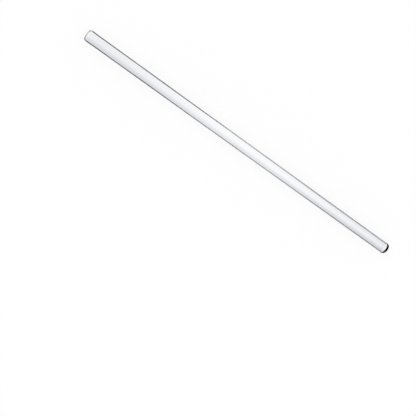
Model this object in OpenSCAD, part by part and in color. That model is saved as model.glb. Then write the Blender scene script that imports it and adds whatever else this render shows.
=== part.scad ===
// Glass stirring rod: one piece of drawn glass rod, cut to length, with both
// ends melted round in a flame. The melt draws the glass back a little, so the
// rod swells by a hair towards each end. The rod lies along X with the middle
// of its length, on its axis, at the origin. The stirring end points to +X.
// All sizes are in millimetres.

/* [Rod] */
// Length of the rod over both melted ends
rod_length = 200; // [100:5:400]
// Diameter of the drawn glass
rod_d = 6; // [3:0.5:12]

/* [Melted ends] */
// Growth of the radius at each melted end
end_swell = 0.06; // [0:0.02:0.3]
// Length of the shank that swells towards each melted end
swell_length = 3; // [1:0.5:8]

/* [Stirring end] */
// Length of the stirring end, from its widest place to its very end
tip_depth = 1.9; // [0.5:0.1:8]
// Bluntness of the stirring end: 2 is a plain ellipse, and more is squarer
tip_bluntness = 2.8; // [1.8:0.1:5]

/* [Grip end] */
// Length of the grip end, from its widest place to its very end
grip_depth = 2; // [0.3:0.1:8]
// Bluntness of the grip end: 2 is a plain ellipse, and more is squarer
grip_bluntness = 3.2; // [1.8:0.1:5]

/* [Smoothness] */
// Steps in the outline of each rounded end
end_steps = 24; // [8:4:48]
// Steps in the outline of each swell
swell_steps = 8; // [4:2:16]
// Facets round the rod in a preview
round_steps = 96; // [48:24:144]

/* [Hidden] */

rod_r = rod_d / 2;
end_r = rod_r + end_swell;

// Outlines are lists of [radius, place along the rod] points. Side is 1 for
// the stirring end and -1 for the grip end.

// The shank swells in a soft step, with no edge where it starts or ends.
function swell_point(step, side, depth) =
    let (share = step / swell_steps)
    [
        rod_r + end_swell * share * share * (3 - 2 * share),
        side * (rod_length / 2 - depth - swell_length * (1 - share))
    ];

// The end is a superellipse, which leaves the swell with no edge and crosses
// the rod's axis square to it.
function melted_point(step, side, depth, bluntness) =
    let (turn = 90 * step / end_steps)
    [
        end_r * pow(cos(turn), 2 / bluntness),
        side * (rod_length / 2 - depth * (1 - pow(sin(turn), 2 / bluntness)))
    ];

// Runs from the straight shank to the axis.
function end_outline(side, depth, bluntness) = concat(
    [for (step = [0 : swell_steps - 1]) swell_point(step, side, depth)],
    [for (step = [0 : end_steps]) melted_point(step, side, depth, bluntness)]
);

function reversed(points) = [for (i = [len(points) - 1 : -1 : 0]) points[i]];

module stirring_rod() {
    tip = end_outline(1, tip_depth, tip_bluntness);
    grip = end_outline(-1, grip_depth, grip_bluntness);
    color("aliceblue", 0.4)
        rotate([0, 90, 0])
            rotate_extrude($fn = round_steps)
                polygon(concat(reversed(grip), tip));
}

stirring_rod();
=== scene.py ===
"""Looks of a glass stirring rod: one drawn glass rod with both ends melted round."""

import math

import bmesh
import bpy
from bpy.props import FloatProperty, FloatVectorProperty, IntProperty, PointerProperty
from mathutils import Euler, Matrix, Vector


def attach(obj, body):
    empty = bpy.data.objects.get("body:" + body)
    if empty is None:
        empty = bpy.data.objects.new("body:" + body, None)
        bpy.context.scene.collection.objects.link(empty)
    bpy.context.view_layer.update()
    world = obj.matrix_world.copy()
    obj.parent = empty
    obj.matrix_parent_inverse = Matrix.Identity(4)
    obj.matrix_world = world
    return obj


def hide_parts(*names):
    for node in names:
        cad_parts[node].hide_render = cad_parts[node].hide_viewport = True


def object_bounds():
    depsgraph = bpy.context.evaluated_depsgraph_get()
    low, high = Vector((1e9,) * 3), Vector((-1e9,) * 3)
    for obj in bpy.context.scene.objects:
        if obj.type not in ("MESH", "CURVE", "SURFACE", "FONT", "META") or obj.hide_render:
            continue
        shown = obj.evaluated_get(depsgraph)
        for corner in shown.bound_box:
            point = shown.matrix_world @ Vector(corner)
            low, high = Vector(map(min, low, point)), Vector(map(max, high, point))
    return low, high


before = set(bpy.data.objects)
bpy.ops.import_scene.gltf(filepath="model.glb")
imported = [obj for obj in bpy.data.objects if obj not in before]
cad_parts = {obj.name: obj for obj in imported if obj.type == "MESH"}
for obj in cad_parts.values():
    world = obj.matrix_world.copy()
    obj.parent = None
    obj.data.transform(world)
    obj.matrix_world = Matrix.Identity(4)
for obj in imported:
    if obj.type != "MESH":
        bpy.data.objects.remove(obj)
CAD_LOW, CAD_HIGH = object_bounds()

bl_info = {
    "name": "Glass stirring rod",
    "version": (1, 0, 0),
    "blender": (4, 5, 0),
    "location": "3D View > Sidebar > Stirring Rod",
    "description": "Makes a flame-finished glass stirring rod on a pale studio table",
    "category": "Add Mesh",
}

MM = 0.001
NODE = "stirring_rod"
BODY = "root"

ROD_LENGTH = CAD_HIGH.x - CAD_LOW.x
END_DIAMETER = CAD_HIGH.z - CAD_LOW.z
END_SWELL = 0.06 * MM
# The table clears the swollen ends by a hair, because where it cuts into clear glass its white
# shows inside.
TABLE_GAP = 0.02 * MM
TABLE_HEIGHT = CAD_LOW.z - TABLE_GAP
WHITE = (1.0, 1.0, 1.0, 1.0)


def linear(hex_colour):
    """Turns an sRGB colour, written as hex, into the linear values that a shader takes."""
    values = []
    for place in (0, 2, 4):
        part = int(hex_colour[place : place + 2], 16) / 255
        values.append(part / 12.92 if part <= 0.04045 else ((part + 0.055) / 1.055) ** 2.4)
    return tuple(values)


def add_node(tree, kind, settings=None, links=None):
    """Adds a node with its settings.

    A link is an output socket, and any other value is set on the node's own socket.
    """
    node = tree.nodes.new(kind)
    for name, value in (settings or {}).items():
        setattr(node, name, value)
    for socket, value in (links or {}).items():
        if isinstance(value, bpy.types.NodeSocket):
            tree.links.new(value, node.inputs[socket])
        else:
            node.inputs[socket].default_value = value
    return node


def maths(tree, operation, first, second=0.0, third=0.0):
    """Adds one sum to a tree and gives its result."""
    node = add_node(tree, "ShaderNodeMath", {"operation": operation}, {0: first, 1: second, 2: third})
    return node.outputs[0]


def soft_step(tree, value, none_at, all_at):
    """Gives 0 where a value is none_at, 1 where it is all_at, and a soft step between them."""
    settings = {"interpolation_type": "SMOOTHSTEP"}
    links = {"Value": value, "From Min": none_at, "From Max": all_at}
    return add_node(tree, "ShaderNodeMapRange", settings, links).outputs[0]


# --- Sizes and colours that a user would change -----------------------------------------


class RodShape(bpy.types.PropertyGroup):
    """Sizes of the rod."""

    length: FloatProperty(
        name="Length",
        description="Length of the rod over both rounded ends",
        default=ROD_LENGTH,
        min=0.05,
        unit="LENGTH",
    )
    diameter: FloatProperty(
        name="Diameter",
        description="Diameter of the drawn glass",
        default=END_DIAMETER - 2 * END_SWELL,
        min=0.002,
        unit="LENGTH",
    )
    tip_depth: FloatProperty(
        name="Stirring end depth",
        description="Length of the melted stirring end, from its widest place to its very end",
        default=1.9 * MM,
        min=0.0005,
        unit="LENGTH",
    )
    tip_bluntness: FloatProperty(
        name="Stirring end bluntness",
        description="2 is a plain ellipse, and more is squarer",
        default=2.8,
        min=1.8,
        max=5.0,
    )
    grip_depth: FloatProperty(
        name="Grip end depth",
        description="Length of the melted grip end, from its widest place to its very end",
        default=2.0 * MM,
        min=0.0005,
        unit="LENGTH",
    )
    grip_bluntness: FloatProperty(
        name="Grip end bluntness",
        description="2 is a plain ellipse, and more is squarer",
        default=3.2,
        min=1.8,
        max=5.0,
    )
    end_swell: FloatProperty(
        name="End swell",
        description="How far the melted ends stand out past the shank's radius",
        default=END_SWELL,
        min=0.0,
        unit="LENGTH",
    )
    swell_length: FloatProperty(
        name="Swell length",
        description="Length over which the shank swells towards each melted end",
        default=3.0 * MM,
        min=0.0005,
        unit="LENGTH",
    )
    end_rings: IntProperty(
        name="End rings",
        description="Rings of the mesh along each rounded end",
        default=56,
        min=12,
        max=120,
    )
    shank_rings: IntProperty(
        name="Shank rings",
        description="Rings of the mesh along the straight shank",
        default=120,
        min=2,
        max=400,
    )
    round_steps: IntProperty(
        name="Steps round",
        description="Steps of the mesh round the rod",
        default=192,
        min=24,
        max=256,
    )


class GlassFinish(bpy.types.PropertyGroup):
    """Colours and finish of the glass, with the shade that is painted at its rim."""

    depth_tint: FloatVectorProperty(
        name="Depth tint",
        description="Colour that the glass takes where one looks through a great length of it",
        subtype="COLOR",
        default=linear("B9D8CF"),
        min=0.0,
        max=1.0,
    )
    depth_density: FloatProperty(
        name="Depth density",
        description="How fast the depth tint builds up, per metre of glass",
        default=8.0,
        min=0.0,
    )
    body: FloatVectorProperty(
        name="Body",
        description="Colour of the glass where one looks straight into it",
        subtype="COLOR",
        default=linear("FDFDFF"),
        min=0.0,
        max=1.0,
    )
    # Painted shade: the glass's colour is darkened to this where its skin is seen edge on, standing in
    # for the dark edges that clear glass shows against its surroundings.
    painted_rim_shade: FloatVectorProperty(
        name="Rim",
        description="Colour of the glass where its skin turns away from the eye",
        subtype="COLOR",
        default=linear("AAACAE"),
        min=0.0,
        max=1.0,
    )
    # Where the painted rim shade starts and where it is full, by how far the skin is turned away.
    painted_shade_start: FloatProperty(
        name="Rim start",
        description="How far the skin is turned away where the rim starts to darken, from 0 to 1",
        default=0.30,
        min=0.0,
        max=1.0,
    )
    painted_shade_full: FloatProperty(
        name="Rim full",
        description="How far the skin is turned away where the rim is darkest, from 0 to 1",
        default=0.52,
        min=0.0,
        max=1.0,
    )
    refraction: FloatProperty(
        name="Index of refraction",
        description="Typical soda-lime glass is 1.52",
        default=1.52,
        min=1.3,
        max=1.8,
    )
    line_width: FloatProperty(
        name="Drawing line width",
        description="Width of the faint lines that drawing leaves in the skin",
        default=0.4 * MM,
        min=0.0001,
        unit="LENGTH",
    )
    line_length: FloatProperty(
        name="Drawing line length",
        description="Length of those lines",
        default=45.0 * MM,
        min=0.001,
        unit="LENGTH",
    )
    line_depth: FloatProperty(
        name="Drawing line depth",
        description="Depth of those lines",
        default=0.05 * MM,
        min=0.0,
        precision=6,
        unit="LENGTH",
    )


class StudioLook(bpy.types.PropertyGroup):
    """Colours of the table and the light."""

    table_colour: FloatVectorProperty(
        name="Table",
        description="Colour of the plain pale table",
        subtype="COLOR",
        default=linear("FEFEFE"),
        min=0.0,
        max=1.0,
    )
    shade: FloatVectorProperty(
        name="Shade",
        description="Colour of the dimmer parts of the studio that show through the glass",
        subtype="COLOR",
        default=linear("6A6F8A"),
        min=0.0,
        max=1.0,
    )


# --- The rod ----------------------------------------------------------------------------


def rod_tree(name):
    """Builds the rod's geometry: rings along a line, each as wide as the outline is there."""
    tree = bpy.data.node_groups.new(name, "GeometryNodeTree")
    sizes = (
        ("Length", "NodeSocketFloat"),
        ("Diameter", "NodeSocketFloat"),
        ("Tip Depth", "NodeSocketFloat"),
        ("Tip Bluntness", "NodeSocketFloat"),
        ("Grip Depth", "NodeSocketFloat"),
        ("Grip Bluntness", "NodeSocketFloat"),
        ("End Swell", "NodeSocketFloat"),
        ("Swell Length", "NodeSocketFloat"),
        ("End Rings", "NodeSocketInt"),
        ("Shank Rings", "NodeSocketInt"),
        ("Steps Round", "NodeSocketInt"),
        ("Glass", "NodeSocketMaterial"),
    )
    for label, kind in sizes:
        tree.interface.new_socket(label, in_out="INPUT", socket_type=kind)
    tree.interface.new_socket("Rod", in_out="OUTPUT", socket_type="NodeSocketGeometry")
    given = add_node(tree, "NodeGroupInput").outputs

    # Every ring has a number along the rod: the grip end's come first, then the shank's, and then
    # the stirring end's.
    ends = maths(tree, "MULTIPLY", given["End Rings"], 2.0)
    count = maths(tree, "ADD", maths(tree, "ADD", ends, given["Shank Rings"]), 1.0)
    ring = add_node(tree, "GeometryNodeInputIndex").outputs[0]
    tip_start = maths(tree, "ADD", given["End Rings"], given["Shank Rings"])
    half = maths(tree, "MULTIPLY", given["Length"], 0.5)

    def held_share(part, whole):
        """Share of a whole, held between 0 and 1."""
        share = maths(tree, "DIVIDE", part, whole)
        return add_node(tree, "ShaderNodeClamp", None, {"Value": share}).outputs[0]

    def end_outline(steps_in, depth, bluntness):
        """Gives how far an end's ring lies past the widest place, and its share of the radius there."""
        turn = maths(tree, "MULTIPLY", held_share(steps_in, given["End Rings"]), math.pi / 2)
        power = maths(tree, "DIVIDE", 2.0, bluntness)
        sine = maths(tree, "POWER", maths(tree, "SINE", turn), power)
        cosine = maths(tree, "MAXIMUM", maths(tree, "COSINE", turn), 0.0)
        return maths(tree, "MULTIPLY", sine, depth), maths(tree, "POWER", cosine, power)

    grip_in = maths(tree, "SUBTRACT", given["End Rings"], ring)
    grip_past, grip_share = end_outline(grip_in, given["Grip Depth"], given["Grip Bluntness"])
    tip_in = maths(tree, "SUBTRACT", ring, tip_start)
    tip_past, tip_share = end_outline(tip_in, given["Tip Depth"], given["Tip Bluntness"])

    # The shank's rings lie as a cosine does, so they are close together where it swells.
    grip_wide = maths(tree, "SUBTRACT", given["Grip Depth"], half)
    tip_wide = maths(tree, "SUBTRACT", half, given["Tip Depth"])
    along = held_share(maths(tree, "SUBTRACT", ring, given["End Rings"]), given["Shank Rings"])
    along = maths(tree, "COSINE", maths(tree, "MULTIPLY", along, math.pi))
    along = maths(tree, "MULTIPLY_ADD", along, -0.5, 0.5)
    place = maths(tree, "MULTIPLY_ADD", along, maths(tree, "SUBTRACT", tip_wide, grip_wide), grip_wide)
    from_grip = maths(tree, "SUBTRACT", place, grip_wide)
    from_tip = maths(tree, "SUBTRACT", tip_wide, place)
    grip_swell = soft_step(tree, from_grip, given["Swell Length"], 0.0)
    tip_swell = soft_step(tree, from_tip, given["Swell Length"], 0.0)
    swell = maths(tree, "MULTIPLY", maths(tree, "ADD", grip_swell, tip_swell), given["End Swell"])
    place = maths(tree, "ADD", maths(tree, "SUBTRACT", place, grip_past), tip_past)
    radius = maths(tree, "MULTIPLY_ADD", given["Diameter"], 0.5, swell)
    radius = maths(tree, "MULTIPLY", radius, maths(tree, "MULTIPLY", grip_share, tip_share))

    line = add_node(tree, "GeometryNodeMeshLine", None, {"Count": count})
    spot = add_node(tree, "ShaderNodeCombineXYZ", None, {"X": place}).outputs[0]
    line = add_node(
        tree, "GeometryNodeSetPosition", None, {"Geometry": line.outputs[0], "Position": spot}
    )
    axis = add_node(tree, "GeometryNodeMeshToCurve", None, {"Mesh": line.outputs[0]})
    ring_shape = add_node(
        tree,
        "GeometryNodeCurvePrimitiveCircle",
        None,
        {"Resolution": given["Steps Round"], "Radius": 1.0},
    )
    skin = add_node(
        tree,
        "GeometryNodeCurveToMesh",
        None,
        {"Curve": axis.outputs[0], "Profile Curve": ring_shape.outputs[0], "Scale": radius},
    )
    # Both ends' last rings have no width, so merging them closes the poles.
    closed = add_node(
        tree, "GeometryNodeMergeByDistance", None, {"Geometry": skin.outputs[0], "Distance": 1e-6}
    )
    smooth = add_node(tree, "GeometryNodeSetShadeSmooth", None, {"Geometry": closed.outputs[0]})
    real = add_node(tree, "GeometryNodeRealizeInstances", None, {"Geometry": smooth.outputs[0]})
    glass = add_node(
        tree,
        "GeometryNodeSetMaterial",
        None,
        {"Geometry": real.outputs[0], "Material": given["Glass"]},
    )
    add_node(tree, "NodeGroupOutput", None, {"Rod": glass.outputs[0]})
    return tree


def mesh_from_tree(name, tree, values):
    """Runs a geometry tree with these named inputs, and gives its result as a plain mesh object."""
    carrier = bpy.data.objects.new(name + "_carrier", bpy.data.meshes.new(name + "_carrier"))
    bpy.context.scene.collection.objects.link(carrier)
    modifier = carrier.modifiers.new(name, "NODES")
    modifier.node_group = tree
    for item in tree.interface.items_tree:
        if item.item_type == "SOCKET" and item.in_out == "INPUT":
            modifier[item.identifier] = values[item.name]
    evaluated = carrier.evaluated_get(bpy.context.evaluated_depsgraph_get())
    mesh = bpy.data.meshes.new_from_object(evaluated)
    mesh.name = name
    carrier.modifiers.clear()
    bpy.data.objects.remove(carrier)
    piece = bpy.data.objects.new(name, mesh)
    bpy.context.scene.collection.objects.link(piece)
    return piece


def face_outwards(mesh):
    """Turns every face of a closed mesh outwards."""
    shell = bmesh.new()
    shell.from_mesh(mesh)
    bmesh.ops.recalc_face_normals(shell, faces=shell.faces)
    for face in shell.faces:
        face.smooth = True
    shell.to_mesh(mesh)
    shell.free()


def drawn_glass(look, length):
    """Soda-lime glass, drawn as a rod and flame polished at its ends.

    It is clear and colourless across the rod, and its skin is glossy. Its colour is darkened where
    the skin is seen edge on: painted shade, for the dark edges of clear glass. The iron in it shows
    as a green tint only along the length.
    """
    material = bpy.data.materials.new("drawn_soda_lime_glass")
    material.use_nodes = True
    tree = material.node_tree
    tree.nodes.clear()
    # 0 where the skin faces the eye and 1 where it is seen edge on.
    turned = add_node(tree, "ShaderNodeLayerWeight", None, {"Blend": 0.5}).outputs["Facing"]
    # Painted shade: the body colour is mixed towards the rim colour where the skin is seen edge on, for
    # the dark edges of clear glass.
    painted_rim_shade = soft_step(tree, turned, look.painted_shade_start, look.painted_shade_full)
    clear = add_node(
        tree,
        "ShaderNodeMix",
        {"data_type": "RGBA"},
        {"Factor": painted_rim_shade, "A": (*look.body, 1.0), "B": (*look.painted_rim_shade, 1.0)},
    ).outputs["Result"]
    # Drawing the hot glass leaves faint long lines in its skin. The real ones are finer and far
    # shallower: these are as coarse and as deep as they need to be to show. The flame has smoothed
    # them away at both ends.
    place = add_node(tree, "ShaderNodeTexCoord").outputs["Object"]
    along = add_node(tree, "ShaderNodeSeparateXYZ", None, {0: place}).outputs["X"]
    from_middle = maths(tree, "ABSOLUTE", along)
    smooth_at = length / 2 - 5 * MM
    drawn_at = length / 2 - 10 * MM
    drawn = soft_step(tree, from_middle, smooth_at, drawn_at)
    spacing = (1 / look.line_length, 1 / look.line_width, 1 / look.line_width)
    stretched = add_node(tree, "ShaderNodeMapping", None, {"Vector": place, "Scale": spacing})
    lines = add_node(
        tree,
        "ShaderNodeTexNoise",
        None,
        {"Vector": stretched.outputs[0], "Scale": 1.0, "Detail": 1.0},
    )
    skin = add_node(
        tree,
        "ShaderNodeBump",
        None,
        {"Height": lines.outputs[0], "Strength": drawn, "Distance": look.line_depth},
    )
    surface = add_node(
        tree,
        "ShaderNodeBsdfPrincipled",
        None,
        {
            "Base Color": clear,
            "Roughness": 0.0,
            "IOR": look.refraction,
            "Transmission Weight": 1.0,
            "Normal": skin.outputs[0],
        },
    )
    depth = add_node(
        tree,
        "ShaderNodeVolumeAbsorption",
        None,
        {"Color": (*look.depth_tint, 1.0), "Density": look.depth_density},
    )
    add_node(
        tree,
        "ShaderNodeOutputMaterial",
        None,
        {"Surface": surface.outputs[0], "Volume": depth.outputs[0]},
    )
    return material


class STIRRING_ROD_OT_rod(bpy.types.Operator):
    """Make the glass rod with its two rounded ends"""

    bl_idname = "stirring_rod.rod"
    bl_label = "Make Glass Rod"
    bl_options = {"REGISTER", "UNDO"}

    def execute(self, context):
        shape = context.scene.rod_shape
        values = {
            "Length": shape.length,
            "Diameter": shape.diameter,
            "Tip Depth": shape.tip_depth,
            "Tip Bluntness": shape.tip_bluntness,
            "Grip Depth": shape.grip_depth,
            "Grip Bluntness": shape.grip_bluntness,
            "End Swell": shape.end_swell,
            "Swell Length": shape.swell_length,
            "End Rings": shape.end_rings,
            "Shank Rings": shape.shank_rings,
            "Steps Round": shape.round_steps,
            "Glass": drawn_glass(context.scene.glass_finish, shape.length),
        }
        rod = mesh_from_tree("glass_rod", rod_tree("rod_outline"), values)
        face_outwards(rod.data)
        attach(rod, BODY)
        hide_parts(NODE)
        return {"FINISHED"}


# --- The stage --------------------------------------------------------------------------


def table_finish(colour):
    """Matt white laminate, lit by the studio and by a white of its own where it is seen.

    Its own white is most of its brightness, which leaves the rod's shadow pale.
    """
    own_white = 0.8
    material = bpy.data.materials.new("matt_white_laminate")
    material.use_nodes = True
    tree = material.node_tree
    tree.nodes.clear()
    rays = add_node(tree, "ShaderNodeLightPath").outputs
    seen = maths(tree, "MAXIMUM", rays["Is Camera Ray"], rays["Is Glossy Ray"])
    seen = maths(tree, "MAXIMUM", seen, rays["Is Transmission Ray"])
    matt = add_node(tree, "ShaderNodeBsdfDiffuse", None, {"Color": (*colour, 1.0)})
    white = add_node(tree, "ShaderNodeEmission", None, {"Color": WHITE, "Strength": 1.0})
    mixed = add_node(
        tree,
        "ShaderNodeMixShader",
        None,
        {0: maths(tree, "MULTIPLY", seen, own_white), 1: matt.outputs[0], 2: white.outputs[0]},
    )
    add_node(tree, "ShaderNodeOutputMaterial", None, {"Surface": mixed.outputs[0]})
    return material


def make_table(context):
    """A plain pale table, with its top just under the rod.

    It isn't seen in the rod, which shows the studio's own light and shade instead.
    """
    reach = 1.5
    mesh = bpy.data.meshes.new("table_top")
    corners = [(-reach, -reach), (reach, -reach), (reach, reach), (-reach, reach)]
    mesh.from_pydata([(x, y, TABLE_HEIGHT) for x, y in corners], [], [(0, 1, 2, 3)])
    mesh.materials.append(table_finish(context.scene.studio_look.table_colour))
    table = bpy.data.objects.new("table_top", mesh)
    context.scene.collection.objects.link(table)
    table.visible_transmission = False
    table.visible_glossy = False
    return table


# The studio's shade depends on the way that light comes from, as the parts of a unit vector. X leans
# towards the stirring end, Y to the left and Z up, for someone who looks along the rod from its grip
# end. Amounts run from 0 for white to 1 for black. They were found by trial, for a view from above
# the grip end. From other sides the rod shows less of this shade.


def swing(tree, value, middle, width):
    """Gives 0 where a value is at the middle, and 1 where it is half a width away from it."""
    turn = maths(tree, "MULTIPLY", maths(tree, "SUBTRACT", value, middle), 2 * math.pi / width)
    return maths(tree, "MULTIPLY_ADD", maths(tree, "COSINE", turn), -0.5, 0.5)


def patch(tree, way, amount, **limits):
    """Holds an amount of shade to one patch of the studio.

    Each limit is a part of the way, with where none of the shade is there and where all of it is.
    """
    for part, (none_at, all_at) in limits.items():
        amount = maths(tree, "MULTIPLY", soft_step(tree, way[part], none_at, all_at), amount)
    return amount


def total(tree, first, *others):
    """Adds values together."""
    for other in others:
        first = maths(tree, "ADD", first, other)
    return first


def shade_below(tree, way):
    """Gives how dim the studio is along the ways that show through the middle of the rod.

    It is palest where they lean by 0.31 towards the stirring end, and dimmest on the left.
    """
    ends = maths(tree, "MULTIPLY", swing(tree, way["X"], middle=0.31, width=0.44), 0.12)
    left_amount = maths(tree, "MULTIPLY_ADD", way["X"], 0.12, 0.16)
    left = patch(tree, way, left_amount, Y=(-0.05, 0.45))
    right = patch(tree, way, 0.08, X=(0.2, 0.46), Y=(-0.1, -0.4))
    return total(tree, ends, left, right)


def dark_beside(tree, way):
    """Gives how dark the studio is along the sideways ways that show in the rod's two edges."""
    slant = maths(tree, "ABSOLUTE", maths(tree, "DIVIDE", way["Y"], way["Z"]))
    sideways = soft_step(tree, slant, none_at=0.8, all_at=1.2)
    not_level = soft_step(tree, slant, none_at=4.0, all_at=2.5)
    all_along = 0.25
    towards_grip = patch(tree, way, 0.5, X=(0.31, 0.2))
    nearest_grip = patch(tree, way, 0.25, X=(0.125, 0.085))
    towards_tip = patch(tree, way, 0.2, X=(0.33, 0.45))
    amount = total(tree, towards_grip, nearest_grip, towards_tip, all_along)
    edges = maths(tree, "MULTIPLY", maths(tree, "MULTIPLY", sideways, not_level), amount)
    # Ways that don't lean towards the stirring end show in that end's round, darker on the right.
    round_end = patch(tree, way, 0.85, X=(0.04, 0.0), Y=(-0.2, -0.4))
    return maths(tree, "MAXIMUM", edges, round_end)


def dark_in_shine(tree, way):
    """Gives how dark the studio is along the ways that shine in the rod.

    It is black below the rod and beyond the stirring end, apart from a gap on the right. The rest
    of the right side is dim, and the more so towards the grip end.
    """
    beyond_tip = patch(tree, way, 1.0, X=(0.475, 0.51))
    below = patch(tree, way, 1.0, X=(0.03, 0.075), Z=(-0.4, -0.7))
    gap = patch(tree, way, 1.0, X=(0.49, 0.52), Y=(-0.45, -0.65))
    black = maths(tree, "MAXIMUM", beyond_tip, below)
    black = maths(tree, "MULTIPLY", black, maths(tree, "SUBTRACT", 1.0, gap))
    towards_grip = patch(tree, way, 0.55, X=(0.36, 0.1))
    nearest_grip = patch(tree, way, 0.4, X=(0.05, -0.15))
    right_amount = total(tree, towards_grip, nearest_grip)
    right = patch(tree, way, right_amount, Y=(0.05, -0.1), Z=(-0.1, -0.35))
    return maths(tree, "MAXIMUM", black, right)


def make_surroundings(context):
    """Soft white light from all round, with the shades that clear glass shows.

    Light that falls on the table or goes to the camera finds it white all round. What shines in the
    rod or shows through it finds the dimmer parts that a real room has.
    """
    look = context.scene.studio_look
    world = bpy.data.worlds.new("studio")
    world.use_nodes = True
    tree = world.node_tree
    tree.nodes.clear()
    rays = add_node(tree, "ShaderNodeLightPath").outputs
    direction = add_node(tree, "ShaderNodeTexCoord").outputs["Generated"]
    way = add_node(tree, "ShaderNodeSeparateXYZ", None, {0: direction}).outputs

    # The glass shows shade only along ways that go down, and that don't lean far along the rod.
    through = patch(tree, way, rays["Is Transmission Ray"], X=(-0.45, -0.3), Z=(-0.1, -0.35))
    through = patch(tree, way, through, X=(0.54, 0.5))
    shine = maths(tree, "MULTIPLY", rays["Is Glossy Ray"], rays["Is Reflection Ray"])

    # The shade's colour isn't black, so its share is larger than the dimness that it gives.
    green = 1
    share = maths(tree, "MULTIPLY", shade_below(tree, way), 1.0 / (1.0 - look.shade[green]))
    colour = add_node(
        tree,
        "ShaderNodeMix",
        {"data_type": "RGBA"},
        {"Factor": maths(tree, "MULTIPLY", share, through), "A": WHITE, "B": (*look.shade, 1.0)},
    )
    dark = maths(tree, "MULTIPLY", dark_beside(tree, way), through)
    dark = maths(tree, "MULTIPLY_ADD", dark_in_shine(tree, way), shine, dark)
    glow = add_node(
        tree,
        "ShaderNodeBackground",
        None,
        {"Color": colour.outputs["Result"], "Strength": maths(tree, "SUBTRACT", 1.0, dark)},
    )
    add_node(tree, "ShaderNodeOutputWorld", None, {"Surface": glow.outputs[0]})
    context.scene.world = world


def make_camera(context):
    """Looks down on the rod from above its grip end, turned so that the rod runs down to the right."""
    data = bpy.data.cameras.new("camera")
    data.sensor_width = 36.0
    data.lens = 73.56
    data.clip_start = 0.01
    data.clip_end = 20.0
    camera = bpy.data.objects.new("camera", data)
    camera.location = Vector((-133.557, 0.0, 421.955)) * MM
    turn = [math.radians(angle) for angle in (-14.2883, -11.6428, 36.4294)]
    camera.rotation_euler = Euler(turn, "XYZ")
    context.scene.collection.objects.link(camera)
    context.scene.camera = camera


class STIRRING_ROD_OT_studio(bpy.types.Operator):
    """Make the pale table, the soft light and the camera"""

    bl_idname = "stirring_rod.studio"
    bl_label = "Make Studio"
    bl_options = {"REGISTER", "UNDO"}

    def execute(self, context):
        make_table(context)
        make_surroundings(context)
        make_camera(context)
        context.scene.view_settings.view_transform = "Standard"
        return {"FINISHED"}


class VIEW3D_PT_stirring_rod(bpy.types.Panel):
    """Sizes, colours and steps of the stirring rod"""

    bl_label = "Stirring Rod"
    bl_space_type = "VIEW_3D"
    bl_region_type = "UI"
    bl_category = "Stirring Rod"

    def draw(self, context):
        scene = context.scene
        for group in (scene.rod_shape, scene.glass_finish, scene.studio_look):
            box = self.layout.box()
            for name in group.__annotations__:
                box.prop(group, name)
        self.layout.operator(STIRRING_ROD_OT_rod.bl_idname)
        self.layout.operator(STIRRING_ROD_OT_studio.bl_idname)


CLASSES = (
    RodShape,
    GlassFinish,
    StudioLook,
    STIRRING_ROD_OT_rod,
    STIRRING_ROD_OT_studio,
    VIEW3D_PT_stirring_rod,
)


def register():
    for item in CLASSES:
        bpy.utils.register_class(item)
    bpy.types.Scene.rod_shape = PointerProperty(type=RodShape)
    bpy.types.Scene.glass_finish = PointerProperty(type=GlassFinish)
    bpy.types.Scene.studio_look = PointerProperty(type=StudioLook)


def unregister():
    del bpy.types.Scene.studio_look
    del bpy.types.Scene.glass_finish
    del bpy.types.Scene.rod_shape
    for item in reversed(CLASSES):
        bpy.utils.unregister_class(item)


def main():
    """Makes the rod and its stage."""
    register()
    bpy.ops.stirring_rod.rod()
    bpy.ops.stirring_rod.studio()


if __name__ == "__main__":
    main()
